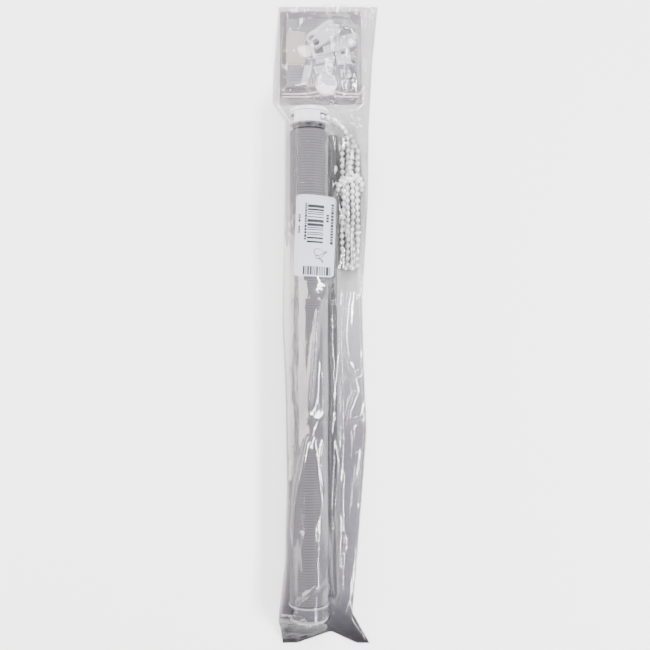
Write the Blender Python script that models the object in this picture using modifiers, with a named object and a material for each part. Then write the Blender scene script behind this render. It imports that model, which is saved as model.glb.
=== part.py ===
"""Mini day-and-night roller blind, rolled up and packed in its clear sleeve.

The blind lies on its back. X runs along the roller, +X at the chain end; -Y is the way the
cloth comes down once the blind hangs; +Z is the side that faces the room. Metres throughout.
"""

import math

import bmesh
import bpy
from mathutils import Matrix, Vector

# ---------------------------------------------------------------- driving dimensions
CLOTH_X = (-0.255, 0.178)  # the two edges of the cloth
AXIS_Y, AXIS_Z = 0.0147, 0.0190  # the roller's axis
GAP = 0.0003  # between pieces that touch

TUBE_R, TUBE_WALL = 0.0090, 0.0008
ROLL_R = (0.0093, 0.0179)  # the wound cloth, inside and outside
FLANGE_R = 0.0185  # the discs that guide the cloth
COVER_R = 0.0183
GUARD_R = (0.0162, 0.0174)
# each end unit's stations, from the cloth's edge outwards: flange, guard, cover, cover's rim, face
DRIVE_STATIONS = (0.0066, 0.0086, 0.0173, 0.0190, 0.0210)
IDLE_STATIONS = (0.0012, 0.0029, 0.0131, 0.0142, 0.0162)
FLANGE_THICK = 0.0016

BEAD_R, BEAD_PITCH = 0.00225, 0.006  # standard 4.5 x 6 mm operating chain
SPROCKET_POCKETS = 10
SPROCKET_R = 0.0118
PITCH_R = SPROCKET_POCKETS * BEAD_PITCH / (2 * math.pi)

HEM_Y, HEM_Z = -0.0070, 0.0051  # the bottom bar's axis
HEM_R = (0.0032, 0.0040)
HEM_CLOTH_R = (0.0043, 0.0046)

HANK_X = (0.050, 0.172)
HANK_Y, HANK_HALF = -0.0235, 0.0092
HANK_Z = (0.0017, 0.0128)
TIE_X, TIE_Z = (0.1228, 0.1352), 0.0125  # the chain's own two turns round the hank
TIE_R = (0.0135, 0.0110)  # across and upwards

FILM = 0.0002  # the sleeve's and the pouch's film
SLEEVE_CLEAR = 0.0007  # from the contents to the film's outside
POUCH_X, POUCH_Y, POUCH_Z = (0.2085, 0.297), (-0.0355, 0.0435), (0.0005, 0.0165)

# ---------------------------------------------------------------- derived places
TUBE_X = (CLOTH_X[0] + 0.002, CLOTH_X[1] + 0.002)
DRIVE = CLOTH_X[1]  # the drive end's pieces are placed from the cloth's edge
IDLE = CLOTH_X[0]
SPROCKET_MID = DRIVE + 0.0125
PIN_R = 0.0028
PIN_TIP = IDLE - 0.0240

# ---------------------------------------------------------------- colours
WHITE = ((0.80, 0.80, 0.82, 1), 0.35, 0.0)
GREY_PLASTIC = ((0.55, 0.55, 0.57, 1), 0.45, 0.0)
DARK_PLASTIC = ((0.06, 0.06, 0.07, 1), 0.5, 0.0)
ALUMINIUM = ((0.72, 0.73, 0.75, 1), 0.35, 1.0)
STEEL = ((0.55, 0.56, 0.58, 1), 0.3, 1.0)
CLOTH = ((0.33, 0.31, 0.32, 1), 0.85, 0.0)
CHAIN = ((0.85, 0.86, 0.86, 1), 0.3, 0.0)
PAPER = ((0.78, 0.76, 0.73, 1), 0.8, 0.0)
PADS = ((0.66, 0.60, 0.45, 1), 0.9, 0.0)
CLEAR = ((0.88, 0.89, 0.90, 0.3), 0.15, 0.0)


# ---------------------------------------------------------------- helpers
def new_collection(name):
    collection = bpy.data.collections.new(name)
    bpy.context.scene.collection.children.link(collection)
    return collection


def material_for(name, look):
    colour, roughness, metallic = look
    material = bpy.data.materials.new(name)
    material.use_nodes = True
    shader = material.node_tree.nodes["Principled BSDF"]
    shader.inputs["Base Color"].default_value = colour
    shader.inputs["Roughness"].default_value = roughness
    shader.inputs["Metallic"].default_value = metallic
    return material


def add_part(name, data, look):
    """A named object in the blind's collection, with its own material."""
    part = bpy.data.objects.new(name, data)
    bpy.data.collections["roller_blind"].objects.link(part)
    data.materials.append(material_for(name, look))
    return part


def as_cutter(cutter):
    """Moves an object among the cutters, which only shape other pieces."""
    for collection in list(cutter.users_collection):
        collection.objects.unlink(cutter)
    bpy.data.collections["cutters"].objects.link(cutter)
    cutter.hide_render = True
    cutter.display_type = "WIRE"
    return cutter


def boolean(part, tool, operation="DIFFERENCE"):
    modifier = part.modifiers.new(operation.lower(), "BOOLEAN")
    modifier.operation = operation
    modifier.object = tool
    modifier.solver = "EXACT"


def turned(name, profile, look, steps=40, centre=(AXIS_Y, AXIS_Z)):
    """A turned piece on an axis along X. The profile is (x, radius) points: a closed loop for
    a ring, or a line that starts and ends on the axis for a solid."""
    ring = min(r for _, r in profile) > 0
    mesh = bpy.data.meshes.new(name)
    edges = [(i, i + 1) for i in range(len(profile) - 1)]
    if ring:
        edges.append((len(profile) - 1, 0))
    mesh.from_pydata([(x, 0, r) for x, r in profile], edges, [])
    part = add_part(name, mesh, look)
    part.location = (0, *centre)
    screw = part.modifiers.new("turn", "SCREW")
    screw.axis = "X"
    screw.steps = screw.render_steps = steps
    screw.use_merge_vertices = True
    screw.merge_threshold = 0.00001
    area = sum(a[0] * b[1] - b[0] * a[1] for a, b in zip(profile, profile[1:] + profile[:1]))
    screw.use_normal_flip = area < 0
    return part


def ring_profile(x0, x1, r0, r1, chamfer=0.0):
    """A ring's section, with its two outer corners taken off by the chamfer."""
    if not chamfer:
        return [(x0, r0), (x0, r1), (x1, r1), (x1, r0)]
    return [(x0, r0), (x0, r1 - chamfer), (x0 + chamfer, r1),
            (x1 - chamfer, r1), (x1, r1 - chamfer), (x1, r0)]


def mirrored_to_idle(profile):
    """The same profile at the other end: a point this far past the drive edge of the cloth
    goes as far past the idle edge."""
    return [(IDLE + DRIVE - x, r) for x, r in reversed(profile)]


def box_mesh(name, boxes):
    """One mesh of boxes, each (low corner, high corner, turn about the roller's axis)."""
    mesh = bpy.data.meshes.new(name)
    bm = bmesh.new()
    for low, high, turn in boxes:
        size = Vector(high) - Vector(low)
        middle = (Vector(high) + Vector(low)) / 2
        matrix = (Matrix.Rotation(turn, 4, "X") @ Matrix.Translation(middle)
                  @ Matrix.Diagonal((*size, 1)))
        bmesh.ops.create_cube(bm, size=1, matrix=matrix)
    bm.to_mesh(mesh)
    bm.free()
    return mesh


def box_part(name, low, high, look, bevel=0.0):
    middle = (Vector(low) + Vector(high)) / 2
    part = add_part(name, box_mesh(name, [(Vector(low) - middle, Vector(high) - middle, 0)]), look)
    part.location = middle
    if bevel:
        add_bevel(part, bevel)
    return part


def add_bevel(part, width, segments=2):
    modifier = part.modifiers.new("rounded", "BEVEL")
    modifier.width = width
    modifier.segments = segments
    modifier.limit_method = "ANGLE"


def box_cutter(name, boxes, centre=(0, AXIS_Y, AXIS_Z)):
    cutter = as_cutter(add_part(name, box_mesh(name, boxes), DARK_PLASTIC))
    cutter.location = centre
    return cutter


def outline_part(name, outline, thickness, look, holes=()):
    """A flat piece: an outline in its own XY plane, with round holes, extruded both ways."""
    curve = bpy.data.curves.new(name, "CURVE")
    curve.dimensions = "2D"
    curve.fill_mode = "BOTH"
    curve.extrude = thickness / 2
    rings = [outline] + [circle_points(*hole) for hole in holes]
    for ring in rings:
        spline = curve.splines.new("POLY")
        spline.points.add(len(ring) - 1)
        for point, (x, y) in zip(spline.points, ring):
            point.co = (x, y, 0, 1)
        spline.use_cyclic_u = True
    drawn = bpy.data.objects.new(name + "_outline", curve)
    bpy.context.scene.collection.objects.link(drawn)
    bpy.context.view_layer.update()
    evaluated = drawn.evaluated_get(bpy.context.evaluated_depsgraph_get())
    mesh = bpy.data.meshes.new_from_object(evaluated)
    mesh.materials.clear()
    bpy.data.objects.remove(drawn)
    bm = bmesh.new()
    bm.from_mesh(mesh)
    bmesh.ops.remove_doubles(bm, verts=bm.verts, dist=0.00001)
    bm.to_mesh(mesh)
    bm.free()
    return add_part(name, mesh, look)


def circle_points(x, y, radius, count=20):
    turns = [2 * math.pi * i / count for i in range(count)]
    return [(x + radius * math.cos(a), y + radius * math.sin(a)) for a in turns]


def slot_points(length, radius, count=8):
    """A straight slot's outline along X, with half-round ends."""
    half = length / 2 - radius
    right = [math.pi * (i / count - 0.5) for i in range(count + 1)]
    return ([(half + radius * math.cos(a), radius * math.sin(a)) for a in right]
            + [(-half - radius * math.cos(a), -radius * math.sin(a)) for a in right])


def smooth_route(points, spacing):
    """Points about that far apart along a smooth curve through the route's own points."""
    route = [Vector(p) for p in points]
    ends = [2 * route[0] - route[1]] + route + [2 * route[-1] - route[-2]]
    found = [route[0]]
    for a, b, c, d in zip(ends, ends[1:], ends[2:], ends[3:]):
        count = max(1, round((c - b).length / spacing))
        for i in range(1, count + 1):
            t = i / count
            found.append(0.5 * (2 * b + (c - a) * t + (2 * a - 5 * b + 4 * c - d) * t * t
                                + (3 * b - a - 3 * c + d) * t ** 3))
    return found


def round_wire(name, points, radius, look, bevel_resolution=2):
    curve = bpy.data.curves.new(name, "CURVE")
    curve.dimensions = "3D"
    curve.bevel_depth = radius
    curve.bevel_resolution = bevel_resolution
    curve.use_fill_caps = True
    spline = curve.splines.new("POLY")
    spline.points.add(len(points) - 1)
    for point, place in zip(spline.points, points):
        point.co = (*place, 1)
    return add_part(name, curve, look)


def helix(x0, x1, radius, turns, per_turn=9):
    count = turns * per_turn
    steps = [i / count for i in range(count + 1)]
    return [(x0 + (x1 - x0) * t, AXIS_Y + radius * math.cos(2 * math.pi * turns * t),
             AXIS_Z + radius * math.sin(2 * math.pi * turns * t)) for t in steps]


# ---------------------------------------------------------------- the roller
def make_roller():
    turned("roller_tube", ring_profile(*TUBE_X, TUBE_R - TUBE_WALL, TUBE_R), ALUMINIUM)
    turned("fabric_roll", ring_profile(*CLOTH_X, *ROLL_R), CLOTH)
    box_part("fabric_drop", (CLOTH_X[0], -0.0020, 0.00055), (CLOTH_X[1], AXIS_Y, 0.0008), CLOTH)


def make_hem():
    """The bottom bar: a tube in a loop of the cloth, with a cap pushed into each end."""
    centre = (HEM_Y, HEM_Z)
    bar = (CLOTH_X[0] + 0.005, CLOTH_X[1] - 0.005)
    turned("hem_bar", ring_profile(*bar, *HEM_R), ALUMINIUM, 24, centre)
    turned("hem_fabric_loop", ring_profile(*CLOTH_X, *HEM_CLOTH_R), CLOTH, 24, centre)
    stem, face, end = bar[1] - 0.008, bar[1] + GAP, CLOTH_X[1] - 0.0004
    cap = [(stem, 0), (stem, HEM_R[0] - GAP), (face, HEM_R[0] - GAP), (face, HEM_R[1]),
           (end - 0.0006, HEM_R[1]), (end, HEM_R[1] - 0.0006), (end, 0)]
    turned("hem_cap_drive", cap, WHITE, 24, centre)
    turned("hem_cap_idle", mirrored_to_idle(cap), WHITE, 24, centre)


# ---------------------------------------------------------------- the end units
def make_housing(end, stations, place, exit_side_cut):
    """The three fixed pieces of an end unit: a cloth flange, a guard wall with windows, and an
    outer cover disc with a key slot that the window bracket takes. place() puts a profile
    drawn for the drive end where it belongs."""
    flange_at, guard_at, inner, rim, face = [DRIVE + station for station in stations]
    flange = ring_profile(flange_at, flange_at + FLANGE_THICK, 0.0084, FLANGE_R, 0.0004)
    turned(f"{end}_cloth_flange", place(flange), WHITE, 40)

    guard_end = inner - GAP
    guard = turned(f"{end}_guard", place(ring_profile(guard_at, guard_end, *GUARD_R)), WHITE, 40)
    window = (guard_at - 0.001, guard_end - 0.0015)
    windows = [((window[0], 0.0136, -0.03), (window[1], 0.03, 0.03), 0),
               ((window[0], -0.03, -0.03), (window[1], -exit_side_cut, 0.03), 0)]
    boolean(guard, end_cutter(f"{end}_guard_windows", windows, place))

    bore = PIN_R + GAP if end == "idle" else 0
    profile = [(inner, bore), (inner, COVER_R), (rim, COVER_R), (rim, COVER_R - 0.0007),
               (face - 0.0006, COVER_R - 0.0007), (face, COVER_R - 0.0014), (face, bore)]
    cover = turned(f"{end}_cover", place(profile), WHITE, 40)
    key = [((face - 0.0016, -0.0022, 0.0050), (face + 0.002, 0.0022, 0.0130), 0),
           ((face - 0.0016, -0.0022, -0.0130), (face + 0.002, 0.0022, -0.0050), 0)]
    boolean(cover, end_cutter(f"{end}_key_slots", key, place))


def end_cutter(name, boxes, place):
    """A cutter of boxes drawn for the drive end, put at the end that place() stands for."""
    placed = []
    for low, high, turn in boxes:
        (xa, _), (xb, _) = place([(low[0], 0), (high[0], 0)])
        placed.append(((min(xa, xb), *low[1:]), (max(xa, xb), *high[1:]), turn))
    return box_cutter(name, placed)


def make_drive_end():
    make_housing("drive", DRIVE_STATIONS, lambda profile: profile, exit_side_cut=0.0105)

    core_end = DRIVE + 0.0170
    turned("clutch_core", [(DRIVE - 0.006, 0), (DRIVE - 0.006, 0.0042), (DRIVE + 0.005, 0.0042),
                           (DRIVE + 0.005, 0.0048), (core_end, 0.0048), (core_end, 0)],
           DARK_PLASTIC, 32)
    spring_x = (DRIVE - 0.0045, DRIVE + 0.0035)
    round_wire("clutch_spring", helix(*spring_x, 0.0052, 6), 0.00035, STEEL, 1)

    plug = [(DRIVE - 0.028, 0), (DRIVE - 0.028, 0.0079), (DRIVE + 0.0024, 0.0079),
            (DRIVE + 0.0024, 0.0150), (DRIVE + 0.0062, 0.0150), (DRIVE + 0.0062, 0.0064),
            (DRIVE - 0.024, 0.0064), (DRIVE - 0.024, 0)]
    collar = turned("drive_tube_plug", plug, DARK_PLASTIC, 40)
    slots = [((DRIVE + 0.0036, -0.0018, 0.0112), (DRIVE + 0.0075, 0.0018, 0.0170),
              2 * math.pi * i / 8) for i in range(8)]
    boolean(collar, box_cutter("collar_slots", slots))

    make_sprocket()


def make_sprocket():
    """The chain wheel: a round groove for the chain, with a deeper pocket for each bead."""
    hub, left, right = DRIVE + 0.0065, DRIVE + 0.0092, DRIVE + 0.0158
    groove = BEAD_R + GAP
    dip = [(SPROCKET_MID + groove * math.sin(a), PITCH_R + groove * math.cos(a))
           for a in [-math.pi / 2 - math.pi * i / 8 for i in range(9)]]
    profile = ([(hub, 0.0051), (hub, 0.0064), (left, 0.0064), (left, SPROCKET_R),
                (SPROCKET_MID - groove, SPROCKET_R)] + dip
               + [(SPROCKET_MID + groove, SPROCKET_R), (right, SPROCKET_R), (right, 0.0051)])
    wheel = turned("sprocket", profile, GREY_PLASTIC, 30)
    pockets = as_cutter(add_part("bead_pockets", bead_mesh("bead_pockets"), CHAIN))
    pockets.location = (SPROCKET_MID, AXIS_Y, AXIS_Z)
    boolean(wheel, pockets)


def bead_mesh(name, radius=0.0028):
    """A ball at each of the sprocket's pockets, a little larger than a bead."""
    mesh = bpy.data.meshes.new(name)
    bm = bmesh.new()
    for i in range(SPROCKET_POCKETS):
        turn = Matrix.Rotation(2 * math.pi * i / SPROCKET_POCKETS, 4, "X")
        bmesh.ops.create_uvsphere(bm, u_segments=8, v_segments=5, radius=radius,
                                  matrix=turn @ Matrix.Translation((0, 0, PITCH_R)))
    bm.to_mesh(mesh)
    bm.free()
    return mesh


def make_idle_end():
    """The free end turns on a sprung pin that snaps into its cover."""
    make_housing("idle", IDLE_STATIONS, mirrored_to_idle, exit_side_cut=0.0136)
    cavity = (IDLE + 0.005, IDLE + 0.023)
    bore = PIN_R + GAP
    turned("idle_tube_plug", [
        (IDLE - 0.008, bore), (IDLE - 0.008, 0.0076), (IDLE - 0.0004, 0.0076),
        (IDLE - 0.0004, 0.0090), (IDLE + 0.0017, 0.0090), (IDLE + 0.0017, 0.0079),
        (cavity[1], 0.0079), (cavity[1], 0.0054), (cavity[0], 0.0054), (cavity[0], bore)],
        GREY_PLASTIC, 40)
    turned("idle_plug_cap", [(cavity[1] + GAP, 0), (cavity[1] + GAP, 0.0079),
                             (cavity[1] + 0.0023, 0.0079), (cavity[1] + 0.0023, 0)],
           GREY_PLASTIC, 32)
    tip, collar = PIN_TIP, cavity[0] + GAP
    turned("idle_pin", [(tip, 0), (tip, PIN_R - 0.0010), (tip + 0.0010, PIN_R),
                        (collar, PIN_R), (collar, 0.0049), (collar + 0.002, 0.0049),
                        (collar + 0.002, PIN_R), (collar + 0.008, PIN_R), (collar + 0.008, 0)],
           STEEL, 24)
    spring_x = (collar + 0.0028, cavity[1] - 0.0007)
    round_wire("idle_pin_spring", helix(*spring_x, 0.0041, 6), 0.0004, STEEL, 1)


# ---------------------------------------------------------------- the operating chain
def tie_shape(centre, clear=0.0):
    """The oval that the chain's turns round the hank fill."""
    unit = circle_points(0, 0, 1, 24)
    return [(centre[0] + (TIE_R[0] + clear) * u, centre[1] + (TIE_R[1] + clear) * v)
            for u, v in unit]


def make_chain():
    """The endless bead chain: from the tied hank over the sprocket and back, as one run."""
    x, y, z = SPROCKET_MID, AXIS_Y, AXIS_Z
    round_wheel = [(x, y + PITCH_R * math.sin(a), z + PITCH_R * math.cos(a))
                   for a in [math.pi * i / 12 for i in range(13)]]
    hank_end = HANK_X[1] + 2 * GAP
    upper = [(hank_end, -0.0212, 0.0089), (hank_end + 0.0040, -0.0207, 0.0100),
             (x - 0.0080, -0.0170, 0.0162), (x - 0.0030, -0.0098, 0.0236),
             (x - 0.0005, -0.0035, 0.0268), (x, 0.0030, z + PITCH_R - 0.0004)]
    lower = [(x, 0.0030, z - PITCH_R - 0.0001), (x - 0.0005, -0.0035, 0.0091),
             (x - 0.0035, -0.0115, 0.0084), (x - 0.0085, -0.0185, 0.0076),
             (hank_end + 0.0040, -0.0250, 0.0060), (hank_end, -0.0258, 0.0050)]
    run = (smooth_route(upper + round_wheel[:1], 0.004)[:-1] + round_wheel
           + smooth_route(round_wheel[-1:] + lower, 0.004)[1:])
    round_wire("chain_run", run, BEAD_R, CHAIN)
    length = HANK_X[1] - HANK_X[0]
    thickness = HANK_Z[1] - HANK_Z[0]
    hank = outline_part("chain_hank", slot_points(length, HANK_HALF), thickness, CHAIN)
    hank.location = (sum(HANK_X) / 2, HANK_Y, sum(HANK_Z) / 2)
    tie_width = TIE_X[1] - TIE_X[0]
    tie = as_cutter(outline_part("hank_tie", tie_shape((0, 0)), tie_width, CHAIN))
    tie.location = (sum(TIE_X) / 2, HANK_Y, TIE_Z)
    tie.rotation_euler = (math.radians(90), 0, math.radians(90))
    boolean(hank, tie, "UNION")


# ---------------------------------------------------------------- the fittings in the pouch
def lay_flat(part, x, y, z, turn_degrees):
    part.location = (x, y, z)
    part.rotation_euler = (0, 0, math.radians(turn_degrees))


def make_sash_hook(name, x, y, z, turn):
    """A toothed strap with a lip that hooks over the sash."""
    half, thick, lip, pitch = 0.0155, 0.0014, 0.0045, 0.0022
    teeth = []
    for i in range(10):
        start = -half + 0.002 + i * pitch
        teeth += [(start, thick), (start + 0.6 * pitch, thick + 0.0008), (start + pitch, thick)]
    side = [(-half, 0), (half, 0), (half, lip), (half - 0.0014, lip), (half - 0.0014, thick)]
    outline = side + list(reversed(teeth)) + [(-half, thick)]
    hook = outline_part(name, outline, 0.0072, WHITE)
    hook.location = (x, y, z)
    hook.rotation_euler = (math.radians(90), 0, math.radians(turn))


def make_clamp_body(name, x, y, z, turn):
    """The bar that the strap ratchets into: a round-ended bar with a screw hole."""
    length, radius, height = 0.0310, 0.0050, 0.0056
    body = outline_part(name, slot_points(length, radius), height, WHITE,
                        holes=[(-length / 2 + radius + 0.0003, 0, 0.0032, 20)])
    lay_flat(body, x, y, z, turn)
    low, high = (-0.0025, -0.006, -0.0011), (0.0105, 0.006, 0.0011)
    slot = as_cutter(add_part(name + "_slot", box_mesh(name + "_slot", [(low, high, 0)]), WHITE))
    lay_flat(slot, x, y, z, turn)
    boolean(body, slot)


def make_plate(name, size, x, y, z, turn, hole=0.0, rib_x=()):
    """A small flat plate with a screw hole and upright ribs across it."""
    hx, hy = size[0] / 2, size[1] / 2
    outline = [(-hx, -hy), (hx, -hy), (hx, hy), (-hx, hy)]
    holes = [(hx - 2 * hole, 0, hole, 16)] if hole else []
    plate = outline_part(name, outline, 0.0020, WHITE, holes)
    lay_flat(plate, x, y, z, turn)
    for i, at in enumerate(rib_x):
        low, high = (at - 0.0006, -hy + 0.0006, 0.0005), (at + 0.0006, hy - 0.0006, 0.0032)
        rib_name = f"{name}_rib_{i + 1}"
        rib = as_cutter(add_part(rib_name, box_mesh(rib_name, [(low, high, 0)]), WHITE))
        lay_flat(rib, x, y, z, turn)
        boolean(plate, rib, "UNION")


def make_screw(name, x, y, z, turn):
    """A countersunk screw, lying flat."""
    profile = [(0, 0), (0.0028, 0), (0.0028, 0.0004), (0.0014, 0.0020), (0.0012, 0.0110),
               (0.0002, 0.0150), (0, 0.0150)]
    screw = turned_upright(name, profile, STEEL, 12)
    screw.location = (x, y, z)
    screw.rotation_euler = (0, math.radians(90), math.radians(turn))


def make_chain_tensioner(x, y, z):
    """A round chain guide for the wall: a base with a post, and a cap that covers it."""
    base = turned_upright("tensioner_base", [
        (0, 0), (0.0098, 0), (0.0098, 0.0012), (0.0034, 0.0012), (0.0034, 0.0052), (0, 0.0052)],
        WHITE)
    base.location = (x, y, z)
    cap = turned_upright("tensioner_cap", [
        (0.0037, 0.0015), (0.0102, 0.0015), (0.0102, 0.0060), (0.0092, 0.0070), (0, 0.0070),
        (0, 0.0055), (0.0037, 0.0055)], WHITE)
    cap.location = (x, y, z)


def turned_upright(name, profile, look, steps=32):
    """A piece turned about Z, from (radius, z) points that start and end on the axis or ring."""
    mesh = bpy.data.meshes.new(name)
    edges = [(i, i + 1) for i in range(len(profile) - 1)]
    if profile[0][0] > 0:
        edges.append((len(profile) - 1, 0))
    mesh.from_pydata([(r, 0, z) for r, z in profile], edges, [])
    part = add_part(name, mesh, look)
    screw = part.modifiers.new("turn", "SCREW")
    screw.steps = screw.render_steps = steps
    screw.use_merge_vertices = True
    screw.merge_threshold = 0.00001
    area = sum(a[0] * b[1] - b[0] * a[1] for a, b in zip(profile, profile[1:] + profile[:1]))
    screw.use_normal_flip = area > 0
    return part


def make_fittings():
    low, high = 0.0034, 0.0112  # the two levels that the loose pieces lie at
    box_part("instruction_leaflet", (0.2250, -0.0240, 0.0009), (0.2900, 0.0370, 0.0019), PAPER)
    box_part("adhesive_pad_1", (0.2455, 0.0190, 0.0022), (0.2745, 0.0368, 0.0032), PADS)
    box_part("adhesive_pad_2", (0.2475, 0.0183, 0.0035), (0.2765, 0.0358, 0.0045), PADS)
    make_clamp_body("clamp_body_1", 0.2694, 0.0000, high, -55)
    make_clamp_body("clamp_body_2", 0.2752, 0.0042, low + 0.0020, -55)
    make_sash_hook("sash_hook_1", 0.2613, -0.0135, high - 0.0028, -75)
    make_sash_hook("sash_hook_2", 0.2690, -0.0150, low - 0.0010, -75)
    make_plate("wall_plate_1", (0.0150, 0.0140), 0.2535, -0.0172, low, 8, hole=0.0020)
    make_plate("wall_plate_2", (0.0095, 0.0180), 0.2525, 0.0005, low, 10,
               rib_x=(-0.0032, 0.0, 0.0032))
    make_plate("chain_guide_plate", (0.0095, 0.0165), 0.2405, 0.0015, low, 14,
               rib_x=(-0.0026, 0.0022))
    make_plate("bracket_spacer", (0.0185, 0.0070), 0.2355, 0.0175, low, -12)
    make_screw("mounting_screw_1", 0.2775, -0.0150, high, -101)
    make_screw("mounting_screw_2", 0.2300, -0.0285, low + 0.0018, 0)
    make_chain_tensioner(0.2250, -0.0010, 0.0078)


# ---------------------------------------------------------------- the films
def upper_hull(points):
    """The upper side of the convex hull of (y, z) points, from the lowest y to the highest."""
    hull = []
    for p in sorted(set(points)):
        while len(hull) > 1 and ((hull[-1][0] - hull[-2][0]) * (p[1] - hull[-2][1])
                                 >= (hull[-1][1] - hull[-2][1]) * (p[0] - hull[-2][0])):
            hull.pop()
        hull.append(p)
    return hull


def resampled(line, count):
    """The same line as count + 1 points an equal way apart."""
    lengths = [math.dist(a, b) for a, b in zip(line, line[1:])]
    found, step, walked, i = [line[0]], sum(lengths) / count, 0.0, 0
    for k in range(1, count):
        while walked + lengths[i] < k * step:
            walked += lengths[i]
            i += 1
        t = (k * step - walked) / lengths[i]
        found.append(tuple(a + t * (b - a) for a, b in zip(line[i], line[i + 1])))
    return found + [line[-1]]


def film_section(x, right, left, low, contents, top_count, bottom_count):
    """One ring of a film tube round whatever lies at x: over the top, then back underneath.
    The ring has its two folds at the sides."""
    fold = low + 0.0006
    inset = 0.0012
    points = [(right, fold), (left, fold)]
    for (x0, x1), shape in contents:
        if x0 <= x <= x1:
            points += shape
    ring = [(x, y, z) for y, z in resampled(upper_hull(points), top_count)]
    for k in range(bottom_count + 1):
        t = k / bottom_count
        ring.append((x, left - inset + t * (right - left + 2 * inset), low))
    return ring


def film_tube(name, sections, look):
    """A tube of film through the sections. Its first end is sealed and its last end is open."""
    mesh = bpy.data.meshes.new(name)
    bm = bmesh.new()
    rings = [[bm.verts.new(p) for p in section] for section in sections]
    for low, high in zip(rings, rings[1:]):
        for i in range(len(low)):
            j = (i + 1) % len(low)
            bm.faces.new((low[i], low[j], high[j], high[i]))
    bm.faces.new(list(reversed(rings[0])))
    bmesh.ops.recalc_face_normals(bm, faces=bm.faces)
    bm.to_mesh(mesh)
    bm.free()
    part = add_part(name, mesh, look)
    skin = part.modifiers.new("film", "SOLIDIFY")
    skin.thickness = FILM
    skin.offset = -1
    return part


def circle_shape(centre, radius, count=28):
    return circle_points(*centre, radius, count)


def box_shape(ys, zs):
    return [(y, z) for y in ys for z in zs]


def sleeve_contents():
    """What the sleeve goes round: (its stretch along X, its outline in Y and Z)."""
    clear = SLEEVE_CLEAR
    roll = circle_shape((AXIS_Y, AXIS_Z), FLANGE_R + clear)
    hank = box_shape((HANK_Y - HANK_HALF - 2 * clear, HANK_Y), (0.001, HANK_Z[1] + 2 * clear))
    pouch = box_shape((POUCH_Y[0] - clear, POUCH_Y[1] + clear), (0.001, POUCH_Z[1] + clear))
    leads = box_shape((-0.016, 0.005), (0.001, 0.0312))
    low_leads = box_shape((-0.025, 0.005), (0.001, 0.0200))
    tie = tie_shape((HANK_Y, TIE_Z), 2 * clear)
    return [((-0.2765, 0.2045), roll), ((0.0440, 0.1990), hank), ((0.1720, 0.2045), low_leads),
            ((0.1210, 0.1370), tie),
            ((0.1780, 0.2045), leads), ((0.2120, 0.3000), pouch)]


def outline_at(table, x):
    """A value read off a table of (x, value) rows by straight lines."""
    for (xa, a), (xb, b) in zip(table, table[1:]):
        if xa <= x <= xb:
            return a + (b - a) * (x - xa) / (xb - xa)
    return table[-1][1]


SLEEVE_LEFT = [(-0.3015, 0.040), (-0.277, 0.044), (-0.255, 0.041), (-0.200, 0.0385),
               (0.0, 0.041), (0.130, 0.040), (0.190, 0.0395), (0.2110, 0.0507), (0.3015, 0.0450)]
SLEEVE_RIGHT = [(-0.3015, -0.0430), (-0.272, -0.027), (-0.222, -0.031), (-0.141, -0.037),
                (-0.085, -0.040), (0.020, -0.0360), (0.089, -0.0385), (0.170, -0.0432),
                (0.232, -0.0420), (0.253, -0.0450), (0.298, -0.0507), (0.3015, -0.0500)]


def make_sleeve():
    stations = [-0.3015, -0.290, -0.2765, -0.2555, -0.205, -0.145, -0.085, -0.020, 0.030, 0.0441,
                0.075, 0.105, 0.1180, 0.1211, 0.1369, 0.150, 0.1721, 0.1781, 0.1985, 0.2045, 0.2121, 0.230, 0.253, 0.277,
                0.2999, 0.3015]
    contents = sleeve_contents()
    sections = [film_section(x, outline_at(SLEEVE_RIGHT, x), outline_at(SLEEVE_LEFT, x),
                             0.0, contents, 20, 3) for x in stations]
    film_tube("packing_sleeve", sections, CLEAR)


def make_pouch():
    """The zip bag of fittings. Its zip end, towards the blind, is left unclosed."""
    x0, x1 = POUCH_X
    inside = box_shape((POUCH_Y[0] + 0.004, POUCH_Y[1] - 0.005), (0.001, POUCH_Z[1] - 0.0010))
    contents = [((x0 + 0.0035, x1 - 0.0005), inside)]
    stations = [x1, x1 - 0.0015, x1 - 0.030, x0 + 0.030, x0 + 0.0036, x0]
    sections = [film_section(x, POUCH_Y[0], POUCH_Y[1], POUCH_Z[0], contents, 10, 3)
                for x in stations]
    film_tube("fittings_pouch", sections, CLEAR)


def make_label():
    """A paper label stuck on the sleeve over the top of the roll."""
    stretch, across, lift = (0.0430, 0.1150), (-0.0095, 0.0262), 0.0008
    contents = sleeve_contents()
    sections = []
    for x in stretch:
        points = [(outline_at(SLEEVE_RIGHT, x), 0.0006), (outline_at(SLEEVE_LEFT, x), 0.0006)]
        for _, shape in contents[:2]:
            points += shape
        hull = [p for p in upper_hull(points) if across[0] < p[0] < across[1]]
        full = upper_hull(points)
        edges = [(y, outline_at([(a, b) for a, b in full], y)) for y in across]
        line = [edges[0]] + hull + [edges[1]]
        sections.append([(x, y, z + lift) for y, z in resampled(line, 10)])
    mesh = bpy.data.meshes.new("label")
    bm = bmesh.new()
    rows = [[bm.verts.new(p) for p in section] for section in sections]
    for i in range(len(rows[0]) - 1):
        bm.faces.new((rows[0][i], rows[1][i], rows[1][i + 1], rows[0][i + 1]))
    bm.to_mesh(mesh)
    bm.free()
    label = add_part("label", mesh, PAPER)
    paper = label.modifiers.new("paper", "SOLIDIFY")
    paper.thickness = 0.00015
    paper.offset = 1


# ---------------------------------------------------------------- build
def main():
    for old in list(bpy.data.objects):
        bpy.data.objects.remove(old)
    new_collection("roller_blind")
    new_collection("cutters")
    make_roller()
    make_hem()
    make_drive_end()
    make_idle_end()
    make_chain()
    make_fittings()
    make_pouch()
    make_sleeve()
    make_label()


main()
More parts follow.
